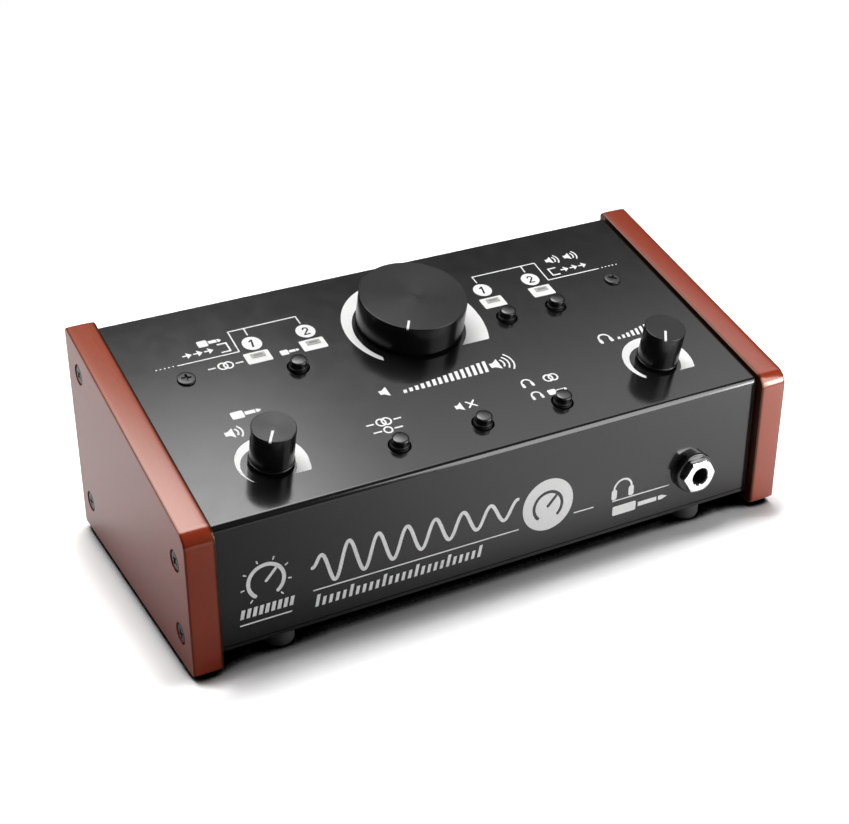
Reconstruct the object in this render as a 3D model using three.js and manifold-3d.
// Desktop studio monitor controller: a folded steel case with a sloping control
// panel, held between two wooden cheeks. Millimetres, +Z up, front towards -Y.
// The origin lies under the middle of the whole object, on the plane it stands on.

import * as THREE from 'three';
import { mergeVertices } from 'three/addons/utils/BufferGeometryUtils.js';
import Module from 'manifold-3d';

const wasm = await Module();
wasm.setup();

// Driving dimensions: cheeks
const totalWidth = 220;
const cheekThickness = 10;
const cheekDepth = 102;
const cheekFrontHeight = 49.5;
const cheekRearHeight = 75.2;
const cheekFrontRadius = 5.8;
const cheekCornerRadius = 1.4;
const cheekEdgeRadius = 0.9;

// Driving dimensions: steel case
const sheetThickness = 1.2;
const bendRadius = 2.4;
const caseFrontSetback = 3;
const caseRearSetback = 3;
const caseBottomRise = 4.5;
const panelDrop = 1.5;
const bracketThickness = 1.5;
const bracketFlangeWidth = 12;
const lugLength = 15;
const lugWidth = 24;

// Driving dimensions: feet
const footRadius = 5.1;
const footTaper = 0.4;
const footDrop = 2;
const footInsetSide = 32;
const footInsetFront = 9.5;

// Fits, shared by every piece
const gap = 0.3;
const overrun = 1;

// Fineness of round pieces, in facets a turn
const fineTurn = 56;
const roundTurn = 24;
const smallTurn = 14;
const hexagonSides = 6;
const cornerSteps = 4;
const edgeSteps = 2;

// Places on the sloping panel, as shares of its width from the middle and of its
// length from the front edge
const smallKnobSideShare = 0.3595;
const smallKnobRiseShare = 0.21;
const volumeRiseShare = 0.68;
const buttonRowRiseShare = 0.134;
const buttonRowShiftShare = -0.0055;
const buttonRowPitchShare = 0.151;
const selectorRiseShare = 0.594;
const lampRiseShare = 0.695;
const lampSideShares = { input_1: -0.2775, input_2: -0.1775, output_1: 0.17, output_2: 0.27 };
const panelScrewSideShare = 0.41;
const panelScrewRiseShare = 0.659;

// Places of the cheek screws, as shares of the cheek's depth and of its height at that end
const frontLowScrewShares = [0.09, 0.225];
const frontHighScrewShares = [0.09, 0.757];
const rearLowScrewShares = [0.912, 0.1665];
const rearHighScrewShares = [0.892, 0.823];

// Potentiometers
const potRadius = 8.3;
const potHeight = 8.2;
const potRotorRadius = 6;
const potRotorHeight = 1.6;
const potFloor = 1.4;
const bushWall = 0.5;
const bushRise = 4.6;
const shaftRadius = 3;
const shaftFlatDepth = 1.3;
const potNutAcrossFlats = 10;
const potNutHeight = 2;

// Knobs
const knobLift = 1;
const knobWall = 1;
const knobRoof = 2.2;
const knobEdge = 0.35;
const smallKnobRadius = 7.15;
const smallKnobTop = 14.2;
const volumeKnobRadius = 18.6;
const volumeKnobTop = 12;
const pointerWidth = 0.8;
const pointerDepth = 0.3;
const smallPointerLength = 5.6;
const volumePointerLength = 5.2;
const pointerTurn = -Math.PI / 6;

// Push buttons and their switches
const capRadius = 2.8;
const capRise = 4.5;
const capDish = 0.5;
const capDishShare = 0.8;
const capEdge = 0.5;
const skirtRadius = 3.55;
const skirtDepth = 1.6;
const skirtLip = 0.2;
const stemWidth = 3;
const stemLength = 5;
const buttonTravel = 1.5;
const switchWidth = 8.6;

// Lamps: rectangular light pipes that stand on the control board
const lampLength = 5;
const lampDepth = 2.2;
const lampRise = 0.25;
const lampFootMargin = 1;
const lampFootHeight = 1.5;

// Boards
const boardThickness = 1.6;
const controlBoardSideMargin = 16;
const controlBoardFrontMargin = 5.2;
const controlBoardRearMargin = 16;
const jackBoardDepth = 34;
const jackBoardSideMargin = 4;

// Sockets for 6.35 mm plugs
const socketBore = 6.5;
const socketBodyWidth = 15.6;
const socketBodyHeight = 15;
const socketBodyLength = 24;
const socketEndWall = 2;
const frontSocketBushRadius = 4.7;
const frontSocketBushRise = 5.4;
const frontSocketSideShare = 0.374;
const frontSocketHeight = 19.7;
const frontWasherRadius = 8;
const frontWasherHeight = 1;
const frontWasherEdge = 0.5;
const frontNutAcrossFlats = 12.5;
const frontNutHeight = 2.9;
const rearSocketCount = 6;
const rearSocketPitchShare = 0.135;
const rearSocketHeight = 38;
const rearSocketBushRadius = 5.8;
const rearSocketBushRise = 1.6;

// Ribbon cable between the two boards
const ribbonWidth = 22;
const ribbonThickness = 1;
const ribbonBulge = 5;
const ribbonRun = 9.2;
const ribbonSteps = 8;
const plugDepth = 5;
const plugHeight = 4.6;
const plugSetback = 3;

// Screws
const cheekScrewHeadRadius = 3.3;
const cheekScrewHeadHeight = 1.9;
const cheekScrewShankRadius = 1.6;
const cheekScrewSink = 1;
const cheekScrewReach = 2.5;
const panelScrewHeadRadius = 3.1;
const panelScrewHeadHeight = 1.5;
const panelScrewShankRadius = 1.4;
const panelScrewReach = 2.5;
const screwTipShare = 0.5;
const screwRimShare = 0.45;
const screwShoulderShares = [0.86, 0.82];
const screwCrownShare = 0.6;
const recessSpan = 3.4;
const recessWidth = 0.9;
const recessDepth = 0.9;

// Sizes that follow from those above
const bodyWidth = totalWidth - 2 * cheekThickness;
const caseWidth = bodyWidth - 2 * gap;
const slopeAngle = Math.atan2(cheekRearHeight - cheekFrontHeight, cheekDepth);
const caseFront = caseFrontSetback;
const caseRear = cheekDepth - caseRearSetback;
const panelLength = (caseRear - caseFront) / Math.cos(slopeAngle);
const panelFrontHeight = panelHeightAt(caseFront);
const frontReach = Math.max(0, frontSocketBushRise - caseFrontSetback);
const depthMiddle = (cheekDepth - frontReach) / 2;
const skinDepth = sheetThickness + gap;
const boardDepth = skinDepth + potHeight + gap;
const bushRadius = shaftRadius + gap + bushWall;
const switchTop = skirtDepth + buttonTravel + gap;
const wellDepth = skirtDepth + stemLength + buttonTravel + gap;

function panelHeightAt(depth) {
  return cheekFrontHeight + depth * Math.tan(slopeAngle) - panelDrop / Math.cos(slopeAngle);
}

// Shared helpers: closed solids, cuts and joins

function weld(geometry) {
  const bare = geometry.clone();
  bare.deleteAttribute('normal');
  bare.deleteAttribute('uv');
  const merged = mergeVertices(bare);
  const source = merged.index.array;
  const kept = [];
  for (let i = 0; i < source.length; i += 3) {
    const [a, b, c] = [source[i], source[i + 1], source[i + 2]];
    if (a !== b && b !== c && c !== a) kept.push(a, b, c);
  }
  merged.setIndex(kept);
  return merged;
}

function toSolid(geometry) {
  const welded = weld(geometry);
  const vertProperties = new Float32Array(welded.attributes.position.array);
  const triVerts = new Uint32Array(welded.index.array);
  return new wasm.Manifold(new wasm.Mesh({ numProp: 3, vertProperties, triVerts }));
}

function toGeometry(solid) {
  const mesh = solid.getMesh();
  const positions = new Float32Array(mesh.numVert * 3);
  for (let i = 0; i < mesh.numVert; i += 1) {
    for (let axis = 0; axis < 3; axis += 1) {
      positions[i * 3 + axis] = mesh.vertProperties[i * mesh.numProp + axis];
    }
  }
  const geometry = new THREE.BufferGeometry();
  geometry.setAttribute('position', new THREE.BufferAttribute(positions, 3));
  geometry.setIndex(Array.from(mesh.triVerts));
  return geometry;
}

function cut(base, tools) {
  let solid = toSolid(base);
  for (const tool of tools) solid = solid.subtract(toSolid(tool));
  return toGeometry(solid);
}

function join(pieces) {
  let solid = toSolid(pieces[0]);
  for (const piece of pieces.slice(1)) solid = solid.add(toSolid(piece));
  return toGeometry(solid);
}

function finish(geometry) {
  const flat = geometry.index ? geometry.toNonIndexed() : geometry;
  flat.computeVertexNormals();
  return flat;
}

function node(name, geometry, makeMaterial) {
  const mesh = new THREE.Mesh(finish(weld(geometry)), makeMaterial());
  mesh.name = name;
  return mesh;
}

// Shared helpers: basic shapes, each with its axis along Z unless told otherwise

function block(width, depth, height, x = 0, y = 0, z = 0) {
  return new THREE.BoxGeometry(width, depth, height).translate(x, y, z);
}

// A block from a low corner to a high corner
function span(low, high) {
  const size = high.map((value, i) => value - low[i]);
  const middle = high.map((value, i) => (value + low[i]) / 2);
  return block(...size, ...middle);
}

function rod(radius, bottom, top, facets) {
  const height = top - bottom;
  return new THREE.CylinderGeometry(radius, radius, height, facets)
    .rotateX(Math.PI / 2)
    .translate(0, 0, bottom + height / 2);
}

function turned(profile, facets) {
  const points = profile.map(([radius, height]) => new THREE.Vector2(radius, height));
  return new THREE.LatheGeometry(points, facets).rotateX(Math.PI / 2);
}

// A prism with hexagonal faces, given across its flats
function cornerRadiusOf(acrossFlats) {
  return acrossFlats / 2 / Math.cos(Math.PI / hexagonSides);
}

function hexagon(acrossFlats, bottom, top) {
  return rod(cornerRadiusOf(acrossFlats), bottom, top, hexagonSides);
}

// Replaces each corner of a path by a round one, with one radius or a list of them
function rounded(points, radii, closed) {
  const path = [];
  points.forEach((corner, i) => {
    if (!closed && (i === 0 || i === points.length - 1)) {
      path.push(corner.clone());
      return;
    }
    const radius = Array.isArray(radii) ? radii[i] : radii;
    const before = points[(i + points.length - 1) % points.length];
    const after = points[(i + 1) % points.length];
    const toBefore = before.clone().sub(corner).normalize();
    const toAfter = after.clone().sub(corner).normalize();
    const halfAngle = Math.acos(toBefore.dot(toAfter)) / 2;
    const middle = toBefore.clone().add(toAfter).normalize();
    const centre = corner.clone().addScaledVector(middle, radius / Math.sin(halfAngle));
    const reach = radius / Math.tan(halfAngle);
    const start = corner.clone().addScaledVector(toBefore, reach).sub(centre);
    const end = corner.clone().addScaledVector(toAfter, reach).sub(centre);
    const sweep = start.angleTo(end) * Math.sign(start.cross(end));
    for (let step = 0; step <= cornerSteps; step += 1) {
      const spoke = start.clone().rotateAround(new THREE.Vector2(), (sweep * step) / cornerSteps);
      path.push(centre.clone().add(spoke));
    }
  });
  return path;
}

// Moves an open path sideways, to its left
function offsetPath(points, distance) {
  const sides = points.slice(1).map((point, i) => {
    const along = point.clone().sub(points[i]).normalize();
    const left = new THREE.Vector2(-along.y, along.x);
    return { along, left, from: points[i].clone().addScaledVector(left, distance) };
  });
  const path = [sides[0].from];
  for (let i = 1; i < sides.length; i += 1) {
    const bisector = sides[i - 1].left.clone().add(sides[i].left).normalize();
    path.push(points[i].clone().addScaledVector(bisector, distance / bisector.dot(sides[i].left)));
  }
  path.push(points.at(-1).clone().addScaledVector(sides.at(-1).left, distance));
  return path;
}

// Extrudes a depth-and-height outline across the width, from one X to another
const acrossWidth = new THREE.Matrix4().makeBasis(
  new THREE.Vector3(0, 1, 0),
  new THREE.Vector3(0, 0, 1),
  new THREE.Vector3(1, 0, 0),
);

function extrudeAcross(outline, from, to, edge = 0) {
  const geometry = new THREE.ExtrudeGeometry(new THREE.Shape(outline), {
    depth: to - from - 2 * edge,
    bevelEnabled: edge > 0,
    bevelThickness: edge,
    bevelSize: edge,
    bevelOffset: -edge,
    bevelSegments: edgeSteps,
    steps: 1,
  });
  return geometry.translate(0, 0, from + edge).applyMatrix4(acrossWidth);
}

// A folded sheet: the path is its outer face, and the metal lies to the given side
function foldedSheet(path, side, width) {
  const outer = rounded(path, bendRadius, false);
  const inner = rounded(offsetPath(path, side * sheetThickness), bendRadius - sheetThickness, false);
  return extrudeAcross([...outer, ...inner.reverse()], -width / 2, width / 2);
}

function pathOf(pairs) {
  return pairs.map(([depth, height]) => new THREE.Vector2(depth, height));
}

// The panel frame: X across, Y up the slope from the front edge, Z out of the panel
const panelMatrix = new THREE.Matrix4()
  .makeRotationX(slopeAngle)
  .setPosition(0, caseFront, panelFrontHeight);

function onPanel(geometry, side, rise) {
  return geometry.translate(side, rise, 0).applyMatrix4(panelMatrix);
}

// Finishes

function look(color, roughness, metalness) {
  return () => new THREE.MeshStandardMaterial({ color, roughness, metalness });
}

const paintedSteel = look('#26272a', 0.42, 0.4);
const zincSteel = look('#a9abad', 0.45, 0.8);
const lacqueredWood = look('#7a2f22', 0.3, 0);
const blackKnob = look('#1b1c1d', 0.5, 0.1);
const blackCap = look('#0e0f10', 0.25, 0);
const blackPlastic = look('#17181a', 0.55, 0);
const blackScrew = look('#1d1d1f', 0.4, 0.7);
const blackRubber = look('#131313', 0.85, 0);
const greenBoard = look('#1f5a35', 0.6, 0);
const chromedBrass = look('#e4e4e2', 0.18, 1);
const satinBrass = look('#b9a26a', 0.4, 0.9);
const milkyLens = look('#b4b6b4', 0.35, 0);
const greyRibbon = look('#8d8f93', 0.7, 0);

// Places of the controls, worked out from the shares

const smallKnobRise = smallKnobRiseShare * panelLength;
const knobPlaces = {
  aux: { side: -smallKnobSideShare * bodyWidth, rise: smallKnobRise },
  volume: { side: 0, rise: volumeRiseShare * panelLength },
  headphone: { side: smallKnobSideShare * bodyWidth, rise: smallKnobRise },
};

const lampPlaces = Object.fromEntries(
  Object.entries(lampSideShares).map(([name, share]) => [
    name,
    { side: share * bodyWidth, rise: lampRiseShare * panelLength },
  ]),
);

function rowButton(step) {
  const side = (buttonRowShiftShare + step * buttonRowPitchShare) * bodyWidth;
  return { side, rise: buttonRowRiseShare * panelLength };
}

function selectorButton(side) {
  return { side, rise: selectorRiseShare * panelLength };
}

const buttonPlaces = {
  mono: rowButton(-1),
  mute: rowButton(0),
  listen: rowButton(1),
  input_select: selectorButton((lampPlaces.input_1.side + lampPlaces.input_2.side) / 2),
  output_1_select: selectorButton(lampPlaces.output_1.side),
  output_2_select: selectorButton(lampPlaces.output_2.side),
};

const panelScrewPlaces = {
  left: { side: -panelScrewSideShare * bodyWidth, rise: panelScrewRiseShare * panelLength },
  right: { side: panelScrewSideShare * bodyWidth, rise: panelScrewRiseShare * panelLength },
};

const frontSocketSide = frontSocketSideShare * bodyWidth;

function rearSocketSide(index) {
  return (index - (rearSocketCount - 1) / 2) * rearSocketPitchShare * bodyWidth;
}

// Case and cheeks

function cheekOutline() {
  return rounded(
    pathOf([
      [0, 0],
      [cheekDepth, 0],
      [cheekDepth, cheekRearHeight],
      [0, cheekFrontHeight],
    ]),
    [cheekCornerRadius, cheekCornerRadius, cheekCornerRadius, cheekFrontRadius],
    true,
  );
}

function cheekScrewPlace([depthShare, heightShare], endHeight) {
  return [depthShare * cheekDepth, heightShare * endHeight];
}

const cheekScrewPlaces = {
  front_low: cheekScrewPlace(frontLowScrewShares, cheekFrontHeight),
  front_high: cheekScrewPlace(frontHighScrewShares, cheekFrontHeight),
  rear_low: cheekScrewPlace(rearLowScrewShares, cheekRearHeight),
  rear_high: cheekScrewPlace(rearHighScrewShares, cheekRearHeight),
};

// Stands a piece whose axis is Z on the outer face of a cheek, on the side given
function onCheek(geometry, side, [depth, height]) {
  return geometry
    .rotateY((side * Math.PI) / 2)
    .translate((side * totalWidth) / 2, depth, height);
}

function cheekGeometry(side) {
  const inner = bodyWidth / 2;
  const outer = totalWidth / 2;
  const from = side < 0 ? -outer : inner;
  const plate = extrudeAcross(cheekOutline(), from, from + cheekThickness, cheekEdgeRadius);
  const sinkDepth = cheekScrewSink + cheekScrewHeadHeight + gap;
  const tools = Object.values(cheekScrewPlaces).flatMap((place) => {
    const sink = rod(cheekScrewHeadRadius + gap, -sinkDepth, overrun, roundTurn);
    const hole = rod(cheekScrewShankRadius + gap, -cheekThickness - overrun, 0, smallTurn);
    return [onCheek(sink, side, place), onCheek(hole, side, place)];
  });
  return cut(plate, tools);
}

function panelHoles() {
  const drill = (radius, facets) => rod(radius, -skinDepth - overrun, overrun, facets);
  const holes = [];
  for (const { side, rise } of Object.values(knobPlaces)) {
    holes.push(onPanel(drill(bushRadius + gap, roundTurn), side, rise));
  }
  for (const { side, rise } of Object.values(buttonPlaces)) {
    holes.push(onPanel(drill(skirtRadius + gap, roundTurn), side, rise));
  }
  for (const { side, rise } of Object.values(panelScrewPlaces)) {
    holes.push(onPanel(drill(panelScrewShankRadius + gap, smallTurn), side, rise));
  }
  for (const { side, rise } of Object.values(lampPlaces)) {
    const slot = block(lampLength + 2 * gap, lampDepth + 2 * gap, 2 * (skinDepth + overrun));
    holes.push(onPanel(slot, side, rise));
  }
  return holes;
}

function onFront(geometry, side, height) {
  return geometry.rotateX(Math.PI / 2).translate(side, caseFront, height);
}

function onRear(geometry, side, height) {
  return geometry.rotateX(-Math.PI / 2).translate(side, caseRear, height);
}

function topCoverGeometry() {
  const path = pathOf([
    [caseFront, caseBottomRise + skinDepth],
    [caseFront, panelFrontHeight],
    [caseRear, panelHeightAt(caseRear)],
  ]);
  const hole = rod(frontSocketBushRadius + gap, -skinDepth - overrun, overrun, roundTurn);
  const socketHole = onFront(hole, frontSocketSide, frontSocketHeight);
  return cut(foldedSheet(path, -1, caseWidth), [...panelHoles(), socketHole]);
}

function baseTrayGeometry() {
  const rearTop = panelHeightAt(caseRear) - skinDepth / Math.cos(slopeAngle);
  const wallTop = rearTop - sheetThickness * Math.tan(slopeAngle);
  const path = pathOf([
    [caseFront, caseBottomRise],
    [caseRear, caseBottomRise],
    [caseRear, wallTop],
  ]);
  const tools = [];
  for (let i = 0; i < rearSocketCount; i += 1) {
    const hole = rod(rearSocketBushRadius + gap, -skinDepth - overrun, overrun, roundTurn);
    tools.push(onRear(hole, rearSocketSide(i), rearSocketHeight));
  }
  return cut(foldedSheet(path, 1, caseWidth), tools);
}

// A side bracket: an upright plate, a foot flange on the tray and a lug under the panel
function bracketGeometry(side) {
  const front = caseFront + skinDepth;
  const rear = caseRear - skinDepth;
  const bottom = caseBottomRise + skinDepth;
  const under = (depth) => panelHeightAt(depth) - skinDepth / Math.cos(slopeAngle);
  const cornerDepth = front + bendRadius;
  const relief = bendRadius - sheetThickness;
  const outline = pathOf([
    [front, bottom + relief],
    [front + relief, bottom],
    [rear - relief, bottom],
    [rear, bottom + relief],
    [rear, under(rear)],
    [cornerDepth, under(cornerDepth)],
    [front, under(front) - bendRadius],
  ]);
  const outer = (side * caseWidth) / 2;
  const inner = outer - side * bracketThickness;
  const edge = (reach) => [outer, outer - side * reach].sort((a, b) => a - b);
  const plate = extrudeAcross(outline, Math.min(outer, inner), Math.max(outer, inner));
  const [flangeLow, flangeHigh] = edge(bracketFlangeWidth);
  const flange = span(
    [flangeLow, front + relief, bottom],
    [flangeHigh, rear - relief, bottom + bracketThickness],
  );
  const screw = panelScrewPlaces[side < 0 ? 'left' : 'right'];
  const [lugLow, lugHigh] = edge(lugWidth);
  const lug = span(
    [lugLow, screw.rise - lugLength / 2, -skinDepth - bracketThickness],
    [lugHigh, screw.rise + lugLength / 2, -skinDepth],
  ).applyMatrix4(panelMatrix);
  const screwHole = rod(panelScrewShankRadius + gap, -lugWidth, 0, smallTurn);
  const tools = [onPanel(screwHole, screw.side, screw.rise)];
  for (const place of Object.values(cheekScrewPlaces)) {
    const reach = cheekThickness + bracketThickness + 2 * gap + overrun;
    const hole = rod(cheekScrewShankRadius + gap, -reach, 0, smallTurn);
    tools.push(onCheek(hole, side, place));
  }
  return cut(join([plate, flange, lug]), tools);
}

function footGeometry() {
  const top = caseBottomRise - gap;
  return turned(
    [
      [0, -footDrop],
      [footRadius - footTaper, -footDrop],
      [footRadius, top],
      [0, top],
    ],
    roundTurn,
  );
}

// A cross-recessed pan head screw: its seat at height 0, its shank below
function screwGeometry(headRadius, headHeight, shankRadius, shankLength) {
  const [shoulderRadiusShare, shoulderRiseShare] = screwShoulderShares;
  const screw = turned(
    [
      [0, -shankLength],
      [shankRadius * screwTipShare, -shankLength],
      [shankRadius, -shankLength + shankRadius],
      [shankRadius, 0],
      [headRadius, 0],
      [headRadius, headHeight * screwRimShare],
      [headRadius * shoulderRadiusShare, headHeight * shoulderRiseShare],
      [headRadius * screwCrownShare, headHeight],
      [0, headHeight],
    ],
    smallTurn,
  );
  const slot = (width, depth) => block(width, depth, 2 * recessDepth, 0, 0, headHeight);
  return cut(screw, [slot(recessSpan, recessWidth), slot(recessWidth, recessSpan)]);
}

// Potentiometer parts, in the panel frame about the control's own axis

function potBodyGeometry() {
  const floor = -boardDepth + gap;
  const roof = -skinDepth;
  const cavityFloor = floor + potFloor;
  const cavityRoof = cavityFloor + potRotorHeight + 2 * gap;
  const cavityRadius = potRotorRadius + gap;
  const boreRadius = shaftRadius + gap;
  return turned(
    [
      [0, floor],
      [potRadius, floor],
      [potRadius, roof],
      [bushRadius, roof],
      [bushRadius, bushRise],
      [boreRadius, bushRise],
      [boreRadius, cavityRoof],
      [cavityRadius, cavityRoof],
      [cavityRadius, cavityFloor],
      [0, cavityFloor],
    ],
    roundTurn,
  );
}

function potNutGeometry() {
  const bottom = gap;
  const top = gap + potNutHeight;
  const bore = rod(bushRadius + gap, bottom - overrun, top + overrun, roundTurn);
  return cut(hexagon(potNutAcrossFlats, bottom, top), [bore]);
}

function shaftTop(knobTop) {
  return knobTop - knobRoof - gap;
}

// The D-shaped end that turns the knob: a round bar with one flat
function shaftFlat(clearance, bottom, top) {
  const reach = shaftRadius + clearance + overrun;
  const face = shaftRadius - shaftFlatDepth + clearance;
  return span([-reach, face, bottom], [reach, reach + overrun, top]);
}

function shaftGeometry(knobTop) {
  const rotorBottom = -boardDepth + gap + potFloor + gap;
  const top = shaftTop(knobTop);
  const bar = turned(
    [
      [0, rotorBottom],
      [potRotorRadius, rotorBottom],
      [potRotorRadius, rotorBottom + potRotorHeight],
      [shaftRadius, rotorBottom + potRotorHeight],
      [shaftRadius, top],
      [0, top],
    ],
    roundTurn,
  );
  return cut(bar, [shaftFlat(0, bushRise, top + overrun)]);
}

function knobGeometry(radius, top, pointerLength) {
  const hollowRadius = Math.max(radius - knobWall, cornerRadiusOf(potNutAcrossFlats) + gap);
  const hollowRoof = bushRise + gap;
  const body = turned(
    [
      [0, hollowRoof],
      [hollowRadius, hollowRoof],
      [hollowRadius, knobLift],
      [radius - knobEdge, knobLift],
      [radius, knobLift + knobEdge],
      [radius, top - knobEdge],
      [radius - knobEdge, top],
      [0, top],
    ],
    fineTurn,
  );
  const boreTop = shaftTop(top) + gap;
  const bore = cut(rod(shaftRadius + gap, hollowRoof - overrun, boreTop, roundTurn), [
    shaftFlat(gap, hollowRoof - 2 * overrun, boreTop + overrun),
  ]);
  const groove = span(
    [-pointerWidth / 2, -radius - overrun, top - pointerDepth],
    [pointerWidth / 2, pointerLength - radius, top + overrun],
  );
  return cut(body, [bore, groove]);
}

// Push buttons, switches and lamps, in the panel frame about their own axes

function buttonGeometry() {
  const cap = turned(
    [
      [0, -skirtDepth],
      [skirtRadius, -skirtDepth],
      [skirtRadius, skirtLip],
      [capRadius, skirtLip + (skirtRadius - capRadius)],
      [capRadius, capRise - capEdge],
      [capRadius - capEdge, capRise],
      [(capRadius - capEdge) / 2, capRise - capDish * capDishShare],
      [0, capRise - capDish],
    ],
    roundTurn,
  );
  const stemBottom = -skirtDepth - stemLength;
  const stem = span(
    [-stemWidth / 2, -stemWidth / 2, stemBottom],
    [stemWidth / 2, stemWidth / 2, 0],
  );
  return join([cap, stem]);
}

function switchGeometry() {
  const bottom = -boardDepth + gap;
  const half = switchWidth / 2;
  const housing = span([-half, -half, bottom], [half, half, -switchTop]);
  const wellHalf = stemWidth / 2 + gap;
  const wellBottom = Math.max(-wellDepth, bottom + gap);
  const well = span([-wellHalf, -wellHalf, wellBottom], [wellHalf, wellHalf, 0]);
  return cut(housing, [well]);
}

function lampGeometry() {
  const bottom = -boardDepth + gap;
  const half = [lampLength / 2, lampDepth / 2];
  const pipe = span([-half[0], -half[1], bottom], [half[0], half[1], lampRise]);
  const footHalf = half.map((value) => value + lampFootMargin);
  const foot = span(
    [-footHalf[0], -footHalf[1], bottom],
    [footHalf[0], footHalf[1], bottom + lampFootHeight],
  );
  return join([pipe, foot]);
}

// Boards and the ribbon cable between them

function controlBoardGeometry() {
  const half = bodyWidth / 2 - controlBoardSideMargin;
  return span(
    [-half, controlBoardFrontMargin, -boardDepth - boardThickness],
    [half, panelLength - controlBoardRearMargin, -boardDepth],
  );
}

const socketBodyFloor = rearSocketHeight - socketBodyHeight / 2;
const jackBoardTop = socketBodyFloor - gap;
const jackBoardFront = caseRear - skinDepth - jackBoardDepth;

function jackBoardGeometry() {
  const half = rearSocketSide(rearSocketCount - 1) + socketBodyWidth / 2 + jackBoardSideMargin;
  return span(
    [-half, jackBoardFront, jackBoardTop - boardThickness],
    [half, caseRear - skinDepth, jackBoardTop],
  );
}

function ribbonGeometry() {
  const half = ribbonWidth / 2;
  const depth = jackBoardFront + plugSetback + plugDepth / 2;
  const lowerPlug = span(
    [-half, depth - plugDepth / 2, jackBoardTop + gap],
    [half, depth + plugDepth / 2, jackBoardTop + gap + plugHeight],
  );
  const upperRise = (depth - caseFront) / Math.cos(slopeAngle);
  const plugTop = -boardDepth - boardThickness - gap;
  const upperPlug = span(
    [-half, upperRise - plugDepth / 2, plugTop - plugHeight],
    [half, upperRise + plugDepth / 2, plugTop],
  ).applyMatrix4(panelMatrix);
  const upper = new THREE.Vector3(0, upperRise, plugTop - plugHeight / 2).applyMatrix4(panelMatrix);
  const start = new THREE.Vector2(depth, jackBoardTop + gap + plugHeight / 2);
  const end = new THREE.Vector2(upper.y, upper.z);
  const bow = new THREE.CubicBezierCurve(
    start,
    new THREE.Vector2(start.x - ribbonBulge, start.y + ribbonRun),
    new THREE.Vector2(end.x - ribbonBulge, end.y - ribbonRun),
    end,
  );
  const middle = bow.getPoints(ribbonSteps);
  const left = offsetPath(middle, ribbonThickness / 2);
  const right = offsetPath(middle, -ribbonThickness / 2);
  const flat = extrudeAcross([...left, ...right.reverse()], -half + gap, half - gap);
  return join([lowerPlug, upperPlug, flat]);
}

// Sockets, about their own axes: height 0 is the outer face of the wall that holds them

function socketGeometry(outerRadius, bushEnd) {
  const back = -skinDepth - socketBodyLength;
  const half = [socketBodyWidth / 2, socketBodyHeight / 2];
  const body = span([-half[0], -half[1], back], [half[0], half[1], -skinDepth]);
  const bush = rod(outerRadius, -skinDepth - overrun, bushEnd, roundTurn);
  const bore = rod(socketBore / 2, back + socketEndWall, bushEnd + overrun, roundTurn);
  return cut(join([body, bush]), [bore]);
}

function ringGeometry(outer, boreRadius, bottom, top) {
  const bore = rod(boreRadius, bottom - overrun, top + overrun, roundTurn);
  return cut(outer, [bore]);
}

function frontWasherGeometry() {
  const bottom = gap;
  const top = gap + frontWasherHeight;
  const disc = turned(
    [
      [0, bottom],
      [frontWasherRadius, bottom],
      [frontWasherRadius, top - frontWasherEdge],
      [frontWasherRadius - frontWasherEdge, top],
      [0, top],
    ],
    roundTurn,
  );
  return ringGeometry(disc, frontSocketBushRadius + gap, bottom, top);
}

function frontNutGeometry() {
  const bottom = frontWasherHeight + 2 * gap;
  const top = bottom + frontNutHeight;
  const hex = hexagon(frontNutAcrossFlats, bottom, top);
  return ringGeometry(hex, frontSocketBushRadius + gap, bottom, top);
}

// Assembly

const panel = new THREE.Group();
panel.position.set(0, caseFront, panelFrontHeight);
panel.rotation.x = slopeAngle;

function placeOnPanel(mesh, { side, rise }, turn = 0) {
  mesh.position.set(side, rise, 0);
  mesh.rotation.z = turn;
  panel.add(mesh);
}

function addKnobs() {
  for (const [name, place] of Object.entries(knobPlaces)) {
    const large = name === 'volume';
    const top = large ? volumeKnobTop : smallKnobTop;
    const radius = large ? volumeKnobRadius : smallKnobRadius;
    const pointer = large ? volumePointerLength : smallPointerLength;
    const knob = node(`${name}_knob`, knobGeometry(radius, top, pointer), blackKnob);
    placeOnPanel(node(`${name}_pot_body`, potBodyGeometry(), zincSteel), place);
    placeOnPanel(node(`${name}_pot_nut`, potNutGeometry(), satinBrass), place);
    placeOnPanel(node(`${name}_shaft`, shaftGeometry(top), zincSteel), place, pointerTurn);
    placeOnPanel(knob, place, pointerTurn);
  }
}

function addButtons() {
  for (const [name, place] of Object.entries(buttonPlaces)) {
    placeOnPanel(node(`${name}_button`, buttonGeometry(), blackCap), place);
    placeOnPanel(node(`${name}_switch`, switchGeometry(), blackPlastic), place);
  }
}

function addLamps() {
  for (const [name, place] of Object.entries(lampPlaces)) {
    placeOnPanel(node(`${name}_lamp`, lampGeometry(), milkyLens), place);
  }
}

function addPanelScrews() {
  const shankLength = skinDepth + bracketThickness + panelScrewReach + gap;
  for (const [name, { side, rise }] of Object.entries(panelScrewPlaces)) {
    const screw = node(
      `${name}_panel_screw`,
      screwGeometry(panelScrewHeadRadius, panelScrewHeadHeight, panelScrewShankRadius, shankLength),
      blackScrew,
    );
    screw.position.set(side, rise, gap);
    panel.add(screw);
  }
}

const unit = new THREE.Group();
unit.position.set(0, -depthMiddle, footDrop);
unit.add(panel);

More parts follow.
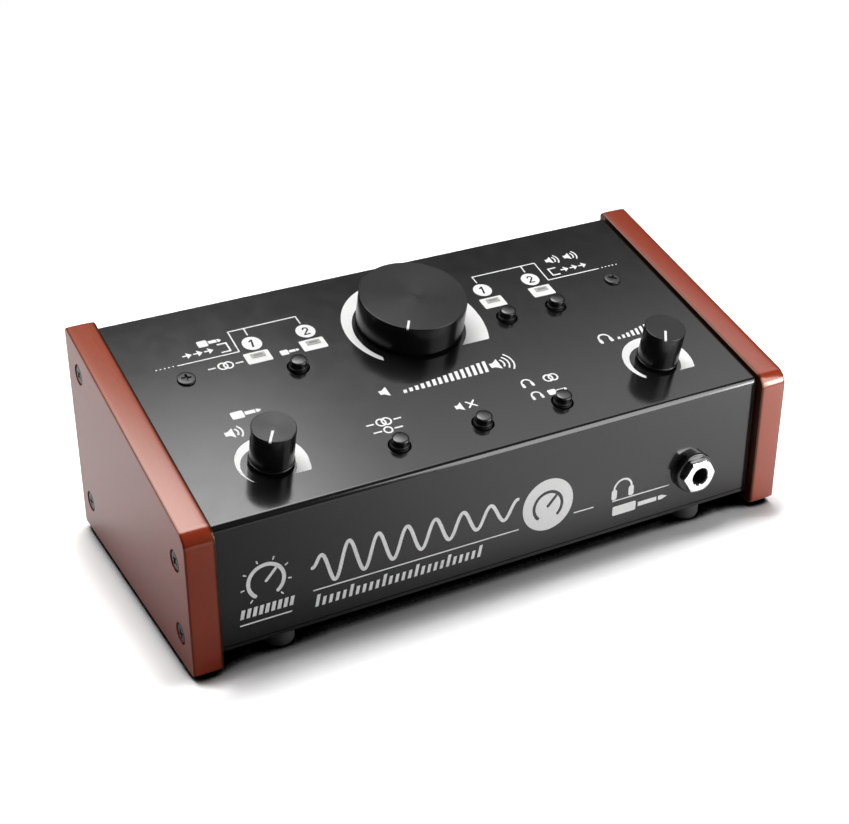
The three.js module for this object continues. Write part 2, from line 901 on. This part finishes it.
function addCheeks() {
  const shankLength = cheekThickness + bracketThickness + cheekScrewReach;
  const seat = totalWidth / 2 - cheekScrewSink - cheekScrewHeadHeight;
  for (const [name, side] of [['left', -1], ['right', 1]]) {
    unit.add(node(`${name}_cheek`, cheekGeometry(side), lacqueredWood));
    unit.add(node(`${name}_bracket`, bracketGeometry(side), zincSteel));
    for (const [corner, [depth, height]] of Object.entries(cheekScrewPlaces)) {
      const screw = node(
        `${name}_cheek_screw_${corner}`,
        screwGeometry(
          cheekScrewHeadRadius,
          cheekScrewHeadHeight,
          cheekScrewShankRadius,
          shankLength - cheekScrewSink - cheekScrewHeadHeight,
        ),
        blackScrew,
      );
      screw.position.set(side * seat, depth, height);
      screw.rotation.y = (side * Math.PI) / 2;
      unit.add(screw);
    }
  }
}

function addFeet() {
  const depths = { front: footInsetFront, rear: cheekDepth - footInsetFront };
  for (const [name, side] of [['left', -1], ['right', 1]]) {
    for (const [end, depth] of Object.entries(depths)) {
      const foot = node(`${end}_${name}_foot`, footGeometry(), blackRubber);
      foot.position.set(side * (totalWidth / 2 - footInsetSide), depth, 0);
      unit.add(foot);
    }
  }
}

function addFrontSocket() {
  const parts = [
    node('front_socket', socketGeometry(frontSocketBushRadius, frontSocketBushRise), chromedBrass),
    node('front_socket_washer', frontWasherGeometry(), blackPlastic),
    node('front_socket_nut', frontNutGeometry(), chromedBrass),
  ];
  for (const part of parts) {
    part.position.set(frontSocketSide, caseFront, frontSocketHeight);
    part.rotation.x = Math.PI / 2;
    unit.add(part);
  }
}

function addRearSockets() {
  for (let i = 0; i < rearSocketCount; i += 1) {
    const geometry = socketGeometry(rearSocketBushRadius, rearSocketBushRise);
    const socket = node(`rear_socket_${i + 1}`, geometry, blackPlastic);
    socket.position.set(rearSocketSide(i), caseRear, rearSocketHeight);
    socket.rotation.x = -Math.PI / 2;
    unit.add(socket);
  }
}

unit.add(node('top_cover', topCoverGeometry(), paintedSteel));
unit.add(node('base_tray', baseTrayGeometry(), paintedSteel));
unit.add(node('jack_board', jackBoardGeometry(), greenBoard));
unit.add(node('ribbon_cable', ribbonGeometry(), greyRibbon));
panel.add(node('control_board', controlBoardGeometry(), greenBoard));
addCheeks();
addFeet();
addFrontSocket();
addRearSockets();
addKnobs();
addButtons();
addLamps();
addPanelScrews();

const controller = new THREE.Group();
controller.add(unit);

export default controller;
